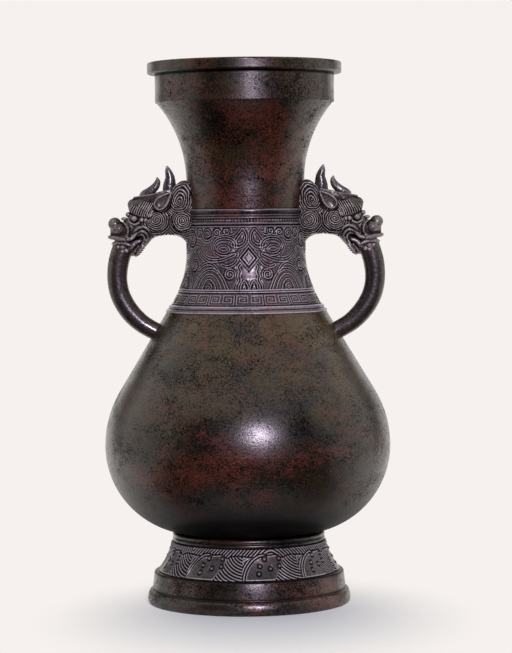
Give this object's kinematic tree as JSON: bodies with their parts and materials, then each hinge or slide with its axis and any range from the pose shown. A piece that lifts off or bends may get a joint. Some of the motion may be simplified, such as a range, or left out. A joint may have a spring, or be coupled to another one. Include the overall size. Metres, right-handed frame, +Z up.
{
  "type": "bronze hu vase",
  "caption": "Patinated bronze vase of hu form: pear-shaped belly, waisted neck with a relief band, stepped mouth, spreading foot, and fixed loop handles that issue from horned beast heads.",
  "frame": {"origin": "centre of the foot's underside, on the vase's axis", "axes": "+Z up along the vase's axis, the handles stand out along +X and -X, the front faces -Y"},
  "size_m": [0.2118, 0.2118, 0.4],
  "materials": {
    "vessel_bronze": "satin, brown-black patina with red-brown patches",
    "relief_bronze": "satin, dark grounds and rubbed grey-brown ridges",
    "handle_bronze": "satin, rubbed grey-brown",
    "inner_bronze": "as cast, dull brown"
  },
  "bodies": {
    "root": {"mouth_lip": "vessel_bronze", "neck": "vessel_bronze", "neck_band": "relief_bronze", "belly": "vessel_bronze", "base_plate": "inner_bronze", "foot": "relief_bronze", "right_beast_head": "handle_bronze", "left_beast_head": "handle_bronze", "right_handle_loop": "handle_bronze", "left_handle_loop": "handle_bronze", "head_rivets": "inner_bronze", "loop_rivets": "inner_bronze"}
  },
  "joints": []
}
